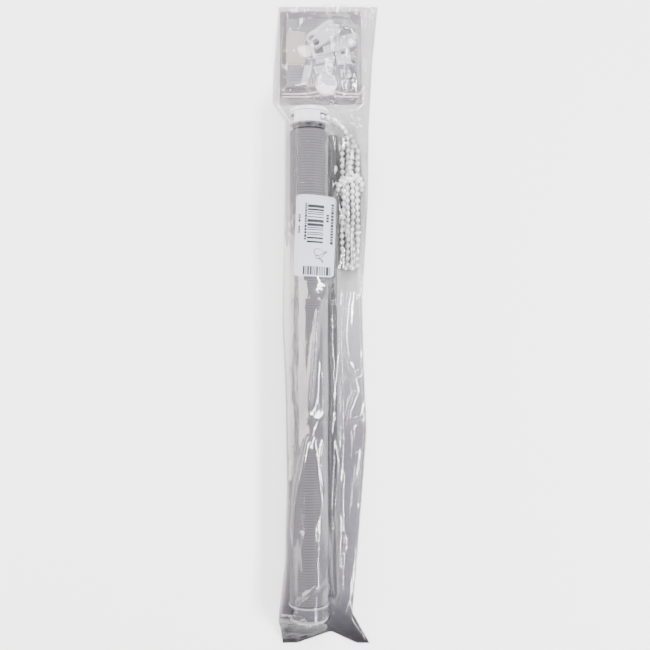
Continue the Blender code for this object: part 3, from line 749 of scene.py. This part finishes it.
def crease(x, y, route, height, width, sharp=1.0):
    """A pinched ridge in the film along a route of (x, y) points, fading at both ends."""
    best = np.full(x.shape, 1e9)
    along = np.zeros(x.shape)
    walked = 0.0
    for (ax, ay), (bx, by) in zip(route, route[1:]):
        dx, dy = bx - ax, by - ay
        size = math.hypot(dx, dy)
        t = np.clip(((x - ax) * dx + (y - ay) * dy) / size ** 2, 0, 1)
        d = np.hypot(x - ax - t * dx, y - ay - t * dy)
        nearer = d < best
        along = np.where(nearer, walked + t * size, along)
        best = np.minimum(best, d)
        walked += size
    fade = soft_step(along, 0, 0.12 * walked) * (1 - soft_step(along, 0.85 * walked, walked))
    profile = np.exp(-(best / width) ** sharp)
    return height * profile * (0.25 + 0.75 * fade)


def between(pairs, at):
    """Straight joins between a few (x, value) pairs."""
    pairs = sorted(pairs)
    return np.interp(at, [p[0] for p in pairs], [p[1] for p in pairs])


def from_mm(values):
    """Metres from millimetres, through lists and tuples of them."""
    if isinstance(values, (list, tuple)):
        return type(values)(from_mm(v) for v in values)
    return values / 1000


LABEL_AT = (0.0805, 0.009)
# where the sleeve's two side edges are at a few places along it, from the chain end down
EDGE_LEFT = from_mm([(301.7, 43.8), (240.6, 48.7), (210.6, 50), (192.2, 38), (122.4, 37.9), (1.9, 40.2),
                     (-56.9, 37.4), (-149.4, 35.8), (-223.6, 37.7), (-276.6, 43.8), (-301.7, 40)])
EDGE_RIGHT = from_mm([(301.7, -50), (253.1, -45.2), (185.4, -41.4), (119, -40.8), (24.7, -35.4),
                      (-38.9, -36.8), (-98.7, -39.6), (-141, -36.6), (-222, -30.3), (-272.2, -25.9),
                      (-301.7, -42.6)])

# the film's creases, each a route, a height and a width: over the roll, along the bottom bar, on the
# flat part beside it, round the pouch and in the margins
CREASES = from_mm([
    ([(38, -9), (22, 5), (-2, 8), (-55, 12), (-83, 14.3)], 2.2, 1.4),
    ([(-83, 14.3), (-88, 8), (-86, 1)], 1.6, 1.8),
    ([(-90, 6), (-104, 16), (-128, 20.5), (-164, 27), (-200, 29)], 1.3, 1.8),
    ([(35, -8.5), (19, -9.3), (-44, -12), (-72, -13.8), (-98, -13.4), (-144, -9.8), (-177, -6.6),
      (-214, -2.1), (-234, 1)], 4, 1.8),
    ([(-230, 1), (-240, 11), (-255, 25)], 2, 1.8),
    ([(-231, 1), (-246, -5), (-262, -10), (-289, -40)], 2.4, 2),
    ([(50, -23), (14, -19), (-9, -17), (-31, -19), (-46, -24.5)], 4, 2.4),
    ([(-40, -20), (-47, -26), (-44, -35)], 3.4, 2),
    ([(-46, -24.5), (-62, -28.5), (-80, -22.5), (-96, -19)], 3.4, 2.2),
    ([(-96, -18.5), (-90, -27), (-86, -37)], 3.4, 2),
    ([(-104, -26), (-119, -31), (-160, -27), (-195, -22.5)], 1.4, 2.8),
    ([(-198, -19), (-220, -15), (-258, -12)], 2, 2.6),
    ([(-40, 2), (-70, 3), (-88, 1)], 1.4, 2),
    ([(-96, 1), (-125, 4.5), (-150, 1.5), (-180, 6)], 1.6, 2),
    ([(-185, 18), (-205, 21), (-225, 19)], 1, 2.2),
    ([(100, -26.5), (60, -28.5), (25, -30)], 2.2, 2),
    ([(80, -16), (52, -12.5), (40, -9)], 1.8, 1.8),
    ([(52, -8), (46, -2), (38, 1), (30, -1)], 1.4, 1.2),
    ([(196, -2), (198, -14), (187, -11)], 2.6, 2.2),
    ([(185, -31), (171, -18.5)], 2.4, 1.6),
    ([(178, 2), (165, -4.5)], 1.2, 1.2),
    ([(206, 40), (208, 10), (205, -20), (213, -38)], 2.6, 3),
    ([(244, -12), (242, -28), (243, -40)], 2.4, 1.8),
    ([(225, -20), (216, -30), (224, -40)], 2.4, 1.8),
    ([(213, -22), (206, -29), (213, -36)], 2, 1.4),
    ([(219, 44), (224.5, 30), (228, 13)], 2.6, 3),
    ([(250, -6), (250.5, -25), (249, -43)], 2.2, 1.4),
    ([(300, -40), (262, -38.5), (222, -40)], 1.8, 2.4),
    ([(296, -45.5), (250, -42.5), (230, -43.5)], 1.4, 1.8),
    ([(300, 45.2), (262, 46.5), (222, 45.5)], 1.6, 2.2),
    ([(185, 34.5), (120, 35.2), (60, 36.2)], 1.4, 2),
    ([(202, -20), (185, -33), (150, -37), (100, -36.8)], 1.8, 2.2),
])
# the two longest ones, with smoother film beside them
MAIN_CREASES = [CREASES[0][0], CREASES[3][0]]

# where the film stands up in a tight ridge over the roll: routes, and how high above it
TENTS = from_mm([
    ([(34, 17.5), (24, 10), (12, 7.5)], 1.6),
    ([(30, -2), (20, 5.5), (-2, 8), (-55, 12), (-83, 14.3)], 2.6),
    ([(-90, 10), (-104, 16), (-128, 20.5), (-150, 24.5)], 1.8),
    ([(-225, 4), (-238, 9), (-254, 24)], 1.8),
])


def film_surface(tree, step=0.0025, tents=(), ball=0.008):
    """The top of a film over its contents: xs, ys and heights, before creases."""
    xs = np.arange(-0.3015, 0.3015 + step, step)
    ys = np.arange(-0.056, 0.0561, CELL)
    raw = np.maximum(heights_over(tree, xs, ys), 0.0004)
    x, y = np.meshgrid(xs, ys, indexing="ij")
    lifted = raw.copy()
    for route, lift in tents:
        lifted = np.maximum(lifted, raw + crease(x, y, route, lift, 0.0009) * (raw > 0.03))
    # over the roll the film is pulled tight, and beside it it sinks further in
    tight = rolled_over(lifted, CELL, 0.055, 1)
    loose = rolled_over(raw, CELL, ball, 1)
    on_roll = soft_step(y, -0.0035, 0.0005) if tents else 0.0
    field = rolled_over(loose + (np.maximum(tight, loose) - loose) * on_roll, step, 0.035, 0)
    return xs, ys, np.maximum(blurred(field, 1, 2), raw)


def crumple(x, y, seed):
    """The fine, faceted unevenness of film that has been folded and handled."""
    wide = ridges(x / 0.055, y / 0.011, seed)
    middle = ridges(x / 0.021 + 0.6 * y / 0.011, y / 0.0075 - 0.1 * x / 0.02, seed + 1)
    small = ridges(x / 0.009 - 0.5 * y / 0.006, y / 0.0042 + 0.2 * x / 0.01, seed + 2)
    return wide ** 3, middle ** 3, small ** 3


def make_film(name, heights, edge_left, edge_right, x_range, rows, shape, materials, top, under,
              both_sealed=False, floor=0.0001):
    """A flat tube of film: its top lies over the contents, its underside on the floor."""
    xs, ys, field = heights
    flat = floor + 0.0003
    columns = top + under
    points = []
    for x in np.linspace(*x_range, rows):
        k = (x - xs[0]) / (xs[1] - xs[0])
        i = min(int(k), len(xs) - 2)
        row = field[i] + (field[i + 1] - field[i]) * (k - i)
        y_left, y_right = between(edge_left, x), between(edge_right, x)
        y = np.linspace(y_left, y_right, 500)
        z = np.interp(y, ys, row) + 0.0007
        # the two sides are pressed flat where the film is folded, and the ends where it is sealed
        lie = np.sqrt(soft_step(y_left - y, -0.0002, 0.0024) * soft_step(y - y_right, -0.0002, 0.0065))
        lie = lie * soft_step(x - x_range[0], 0.001, 0.016)
        if both_sealed:
            lie = lie * soft_step(x_range[1] - x, 0.0005, 0.008)
        z = flat + (z - flat) * lie
        walked = np.concatenate([[0], np.cumsum(np.hypot(np.diff(y), np.diff(z)))])
        even = np.linspace(0, walked[-1], top)
        y_all = np.concatenate([np.interp(even, walked, y), np.linspace(y_right, y_left, under + 2)[1:-1]])
        z_all = np.concatenate([np.interp(even, walked, z), np.full(under, floor)])
        points.append(np.stack([np.full(columns, x), y_all, z_all], 1))
    points = np.array(points)
    shape(points, top)
    film = mesh_piece(name, points.reshape(-1, 3), grid_faces(rows, columns, wrap=True), *materials)
    if len(materials) > 1:
        below = np.tile((np.arange(columns) >= top - 1).astype(np.int32), rows - 1)
        film.data.polygons.foreach_set("material_index", below)
    return film


def surface_normals(points):
    n = np.cross(np.gradient(points, axis=1), np.gradient(points, axis=0))
    n = n / np.maximum(np.linalg.norm(n, axis=2, keepdims=True), 1e-9)
    return np.where(n[:, :, 2:3] < 0, -n, n)


def inside_edges(top, width):
    """From 0 at both edges of a film's top to 1 that share of its width inside them."""
    inward = np.minimum(np.arange(top), top - 1 - np.arange(top))[None, :] / top
    return soft_step(inward, 0.0, width)


def pouch_creases(points, top):
    part = points[:, :top]
    wide, middle, small = crumple(part[..., 1], part[..., 0], 23)
    push = (0.0007 * wide + 0.00035 * middle + 0.00012 * small) * inside_edges(top, 0.06)
    points[:, :top] = part + surface_normals(part) * push[..., None]


def sleeve_creases(points, top):
    part = points[:, :top]
    x, y = part[..., 0], part[..., 1]
    wide, middle, small = crumple(x, y, 11)
    # the parts of the sleeve, each from 0 to 1
    foot = 1 - soft_step(x, -0.12, -0.085)
    beside_roll = (1 - soft_step(y, -0.004, 0.01)) * (1 - 0.6 * foot)
    chain = soft_step(x, 0.02, 0.05) * (1 - soft_step(y, -0.012, -0.003))
    pouch = soft_step(x, 0.196, 0.208)
    upper_roll = soft_step(x, 0.115, 0.13) * soft_step(y, -0.004, 0.002) * (1 - pouch)
    push = (0.0006 + 0.0005 * beside_roll + 0.0005 * chain) * wide
    push = push + (0.00012 + 0.0002 * beside_roll + 0.0006 * chain + 0.0002 * pouch) * middle
    push = push + (0.00004 + 0.00005 * beside_roll + 0.00015 * chain + 0.0001 * pouch) * small
    push = push * (0.45 + 0.55 * np.clip(1 - soft_step(y, 0.012, 0.024) + pouch, 0, 1))
    push = push * (1 - 0.85 * upper_roll)
    for route in MAIN_CREASES:
        push = push * (1 - 0.8 * crease(x, y, route, 1.0, 0.0038, sharp=2.0))
    for route, height, width in CREASES:
        push = push + crease(x, y, route, height, width)
    # the film is flat under the label
    beside = np.maximum(np.abs(x - LABEL_AT[0]) - 0.037, np.abs(y - LABEL_AT[1]) - 0.019)
    push = push * (0.04 + 0.96 * soft_step(beside, -0.001, 0.006))
    # fine folds that fan out from the free end's disc to the sealed end
    fan = np.arctan2(x + 0.262, y - 0.012)
    push = push + (1 - soft_step(x, -0.272, -0.258)) * 0.001 * np.abs(np.sin(9 * fan)) ** 3
    points[:, :top] = part + surface_normals(part) * (push * inside_edges(top, 0.05))[..., None]
    under = points[:, top:]
    points[:, top:, 2] += 0.0002 * ridges(under[..., 0] / 0.03, under[..., 1] / 0.01, 5) ** 2
    # the sealed end isn't square: it is notched where the film was torn off
    x, y = points[..., 0], points[..., 1]
    notch = np.interp(y, [-0.0426, -0.0303, -0.0055, 0.0261, 0.0398], [0.0, 0.0002, 0.0115, 0.0004, 0.0])
    points[..., 0] = x + notch * (1 - soft_step(x, -0.3015, -0.28))


# ---- paper
INK_DEPTH = 0.00004


def rounded_rectangle(width, length, radius, cell):
    """A grid of places in a rectangle with rounded corners, as rows of (u, v)."""
    rows, columns = round(length / cell) + 1, round(width / cell) + 1
    found = []
    for i in range(rows):
        v = -length / 2 + length * i / (rows - 1)
        over = max(0.0, abs(v) - (length / 2 - radius))
        half = width / 2 - radius + math.sqrt(max(radius ** 2 - over ** 2, 0))
        found.append([(-half + 2 * half * j / (columns - 1), v) for j in range(columns)])
    return found


def draped_slab(name, patch, place, lift, thickness, material):
    """A thin slab whose underside follows a surface; patch is rows of (u, v) on it."""
    points = [place(u, v, level) for level in (lift, lift + thickness) for row in patch for u, v in row]
    return mesh_piece(name, points, slab_faces(len(patch), len(patch[0])), material, smooth=False)


def printed(name, marks, place, lift, thickness, material):
    """Printed marks, each a (u, v, width, length) rectangle, as one thin piece on a surface."""
    points, faces = [], []
    for u, v, wide, long in marks:
        columns, rows = (max(2, math.ceil(size / 0.0015) + 1) for size in (wide, long))
        faces += slab_faces(rows, columns, len(points))
        for level in (lift, lift + thickness):
            points += [place(u + wide * (j / (columns - 1) - 0.5), v + long * (i / (rows - 1) - 0.5), level)
                       for i in range(rows) for j in range(columns)]
    return mesh_piece(name, points, faces, material, smooth=False)


def placed_on(tree, centre, turn):
    """Gives places on a surface below: u runs along +Y, v along +X, both turned, then a lift."""
    c, s = math.cos(turn), math.sin(turn)

    def place(u, v, lift):
        x, y = centre[0] + c * v - s * u, centre[1] + s * v + c * u
        hit = tree.ray_cast(Vector((x, y, 0.1)), Vector((0, 0, -1)))[0]
        return Vector((x, y, hit.z + lift))
    return place


def bar_marks(rand, start, end, across, length, thin, sideways=False):
    """A strip of bars of uneven widths, like a bar code that says nothing."""
    marks, at = [], start
    while at < end - 3 * thin:
        wide = thin * rand.choice((1, 1, 2, 3))
        middle = at + wide / 2
        marks.append((middle, across, wide, length) if sideways else (across, middle, length, wide))
        at += wide + thin * rand.choice((1, 1, 2))
    return marks


def word_marks(rand, along, start, end, height, sideways=False):
    """A line of generic dashes where the real one has words."""
    marks, at = [], start
    while at < end - 0.001:
        long = min(rand.uniform(0.001, 0.003), end - at)
        middle = at + long / 2
        marks.append((middle, along, long, height) if sideways else (along, middle, height, long))
        at += long + 0.0006
    return marks


def make_label(tree):
    rand = random.Random(5)
    place = placed_on(tree, LABEL_AT, math.radians(-2.2))
    label = draped_slab("printed_label", rounded_rectangle(0.0365, 0.0735, 0.003, 0.0015), place,
                        0.0002, 0.00012, PAPER)
    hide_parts("label")
    marks = bar_marks(rand, -0.0065, 0.031, 0.0000, 0.0146, 0.00088)
    marks += bar_marks(rand, -0.015, 0.0125, -0.0315, 0.0078, 0.0008, sideways=True)
    for line in ((0.0088, -0.004, 0.029, 0.002), (-0.015, -0.007, 0.03, 0.0026),
                 (-0.0108, 0.013, 0.02, 0.0024), (0.0145, 0.002, 0.0085, 0.0018),
                 (0.0145, 0.012, 0.019, 0.0018)):
        marks += word_marks(rand, *line)
    # a pen squiggle that spells nothing
    pen = [(-0.005 - 0.0052 * math.sin(2.1 * t) * (0.5 + 0.1 * t), -0.023 + 0.0016 * t
            + 0.0022 * math.cos(3.3 * t)) for t in np.linspace(0, 7.0, 110)]
    marks += [(u, v, 0.0006, 0.0006) for u, v in pen]
    ink = printed("label_print", marks, place, 0.00033, INK_DEPTH, INK)
    for piece in (label, ink):
        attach(piece, "sleeve")
        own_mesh(piece)


def make_leaflet():
    """A folded leaflet: four leaves with a slight spring in the folds, and generic grey print."""
    low, middle, wide, long = flat_box("instruction_leaflet")
    rand = random.Random(9)

    def place(u, v, lift):
        wave = 0.0001 * math.sin(9 * v / long) * math.cos(5 * u / wide)
        return Vector((middle[0] + v, middle[1] + u, low.z + lift + wave))

    points, faces = [], []
    count = 15
    steps = [2 * i / (count - 1) - 1 for i in range(count)]
    for k in range(4):
        half_u, half_v = wide / 2 - 0.0004 * k, long / 2 - 0.0004 * k
        faces += slab_faces(count, count, len(points))
        for level in (0.00024 * k + 0.00002, 0.00024 * k + 0.00012):
            points += [place(half_u * u, half_v * v, level) for v in steps for u in steps]
    leaflet = mesh_piece("folded_leaflet", points, faces, LEAFLET, smooth=False)
    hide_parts("instruction_leaflet")
    marks = []
    top = long / 2
    for row in range(3):
        marks += word_marks(rand, top - 0.0022 - 0.0022 * row, -0.022, 0.02, 0.0009, sideways=True)
    for k in range(8):
        marks.append((wide / 2 - 0.0035, top - 0.012 - 0.0021 * k, 0.003, 0.0005))
    for row in range(5):
        marks += word_marks(rand, -top + 0.017 - 0.0026 * row, 0.012, 0.026, 0.0009, sideways=True)
    for k in range(9):
        marks.append((0.02 - 0.0014 * k, -top + 0.024 + 0.0004 * (k % 3), 0.0005, 0.0042))
    ink = printed("leaflet_print", marks, place, 0.0009, INK_DEPTH, GREY_INK)
    for piece in (leaflet, ink):
        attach(piece, "headset")


def make_pin_spring():
    """The coil spring behind the idle pin."""
    low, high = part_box("idle_pin_spring")
    y, z = (low.y + high.y) / 2, (low.z + high.z) / 2
    wire, turns, sides = 0.0004, 6, 8
    radius = (high.z - low.z) / 2 - wire
    steps = 24 * turns
    points = []
    for i in range(steps + 1):
        a = 2 * math.pi * turns * i / steps
        x = low.x + wire + (high.x - low.x - 2 * wire) * i / steps
        for k in range(sides):
            b = 2 * math.pi * k / sides
            r = radius + wire * math.cos(b)
            points.append((x + wire * math.sin(b), y + r * math.cos(a), z + r * math.sin(a)))
    faces = [(a, d, c, b) for a, b, c, d in grid_faces(steps + 1, sides, wrap=True)]
    faces += [tuple(range(sides)), tuple(steps * sides + k for k in reversed(range(sides)))]
    spring = mesh_piece("pin_spring", points, faces, STEEL)
    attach(spring, "roller")
    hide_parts("idle_pin_spring")
    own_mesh(spring)


def make_pads():
    """The two foam sticking pads: porous foam with soft edges, and a liner that curls off a corner."""
    for name in PADS:
        low, middle, wide, long = flat_box(name)
        seed = 41 if name.endswith("1") else 43

        def place(u, v, lift, bumps=0.00005):
            cells = float(value_noise(np.array([u / 0.0016]), np.array([v / 0.0016]), seed)[0])
            edge = max(abs(u) / (wide / 2), abs(v) / (long / 2))
            soft = 0.00016 * max(0.0, (edge - 0.9) / 0.1) ** 2
            side = -1 if lift > 0.0004 else 1
            return Vector((middle[0] + v, middle[1] + u, low.z + lift + side * soft + bumps * cells))

        foam = draped_slab("foam_" + name, rounded_rectangle(wide, long, 0.0012, 0.0007), place,
                           0.00004, 0.00076, FOAM)
        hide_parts(name)

        def curled(u, v, lift):
            corner = max(0.0, (u / (wide / 2) + v / (long / 2)) - 1.35)
            return place(u, v, lift, 0.0) + Vector((0, 0, 0.00035 * corner ** 2))

        liner = draped_slab("liner_" + name, rounded_rectangle(wide, long, 0.0006, 0.0009), curled,
                            0.00086, 0.00005, LINER)
        for piece in (foam, liner):
            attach(piece, "headset")


def make_pouch():
    inside = PADS + FITTINGS + SCREWS + ["instruction_leaflet"]
    low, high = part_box("fittings_pouch")
    over = film_surface(tree_of([nodes[n] for n in inside]), step=0.0015, ball=0.022)
    pouch = make_film("pouch", over, [(low.x, high.y - 0.0005), (high.x, high.y - 0.001)],
                      [(low.x, low.y + 0.0005), (high.x, low.y + 0.0015)], (low.x, high.x), 150,
                      pouch_creases, [POUCH_FILM], top=120, under=30, both_sealed=True, floor=low.z)
    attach(pouch, "headset")
    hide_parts("fittings_pouch")
    # the grip seal: two ribs across the pouch near its mouth, one of them coloured
    place = placed_on(tree_of([pouch]), (low.x + 0.0085, (low.y + high.y) / 2), 0.0)
    wide = high.y - low.y - 0.006
    ribs = [(0.0, -0.0012, wide, 0.001), (0.0, 0.0016, wide, 0.001)]
    seal = printed("grip_seal", ribs, place, 0.00005, 0.0005, ZIP)
    colours = [(0.0068, -0.0012, 0.003, 0.0011), (-0.006, -0.0012, 0.012, 0.0005)]
    mark = printed("grip_seal_mark", colours, place, 0.00062, 0.0002, ZIP_RED)
    for piece in (seal, mark):
        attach(piece, "headset")
    return pouch


def make_sleeve(pouch):
    hidden = ("packing_sleeve", "label", "fittings_pouch")
    # the film lies over a lowered copy of the label, so that it is even under the real one
    cover = link("label_rest", nodes["label"].data.copy())
    cover.location.z = -0.0012
    bpy.context.view_layer.update()
    contents = [piece for name, piece in nodes.items() if name not in hidden]
    tree = tree_of(contents + [pouch, cover, bpy.data.objects["bead_chain"]])
    bpy.data.objects.remove(cover)
    over = film_surface(tree, tents=TENTS)
    sleeve = make_film("sleeve", over, EDGE_LEFT, EDGE_RIGHT, (-0.3015, 0.3015), 660,
                       sleeve_creases, [FILM, FILM_UNDER], top=140, under=20)
    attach(sleeve, "sleeve")
    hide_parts("packing_sleeve")
    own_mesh(sleeve)
    return sleeve


make_camera()
make_stage()
make_lights()
make_chain()
make_roll()
make_drop()
make_hem_loop()
make_leaflet()

paint(["roller_tube", "hem_bar"], ALUMINIUM)
paint(["hem_cap_drive", "hem_cap_idle", "drive_cloth_flange", "drive_guard", "drive_cover"], WHITE)
paint(FITTINGS, FITTING)
paint(["idle_guard"], FROSTED)
paint(["idle_cloth_flange", "idle_cover"], FROSTED_RIM)
paint(["sprocket", "idle_tube_plug", "idle_plug_cap"], GREY)
paint(["clutch_core", "drive_tube_plug"], DARK)
paint(["clutch_spring", "idle_pin"] + SCREWS, STEEL)
make_pads()
make_pin_spring()
make_label(tree_of([make_sleeve(make_pouch())]))
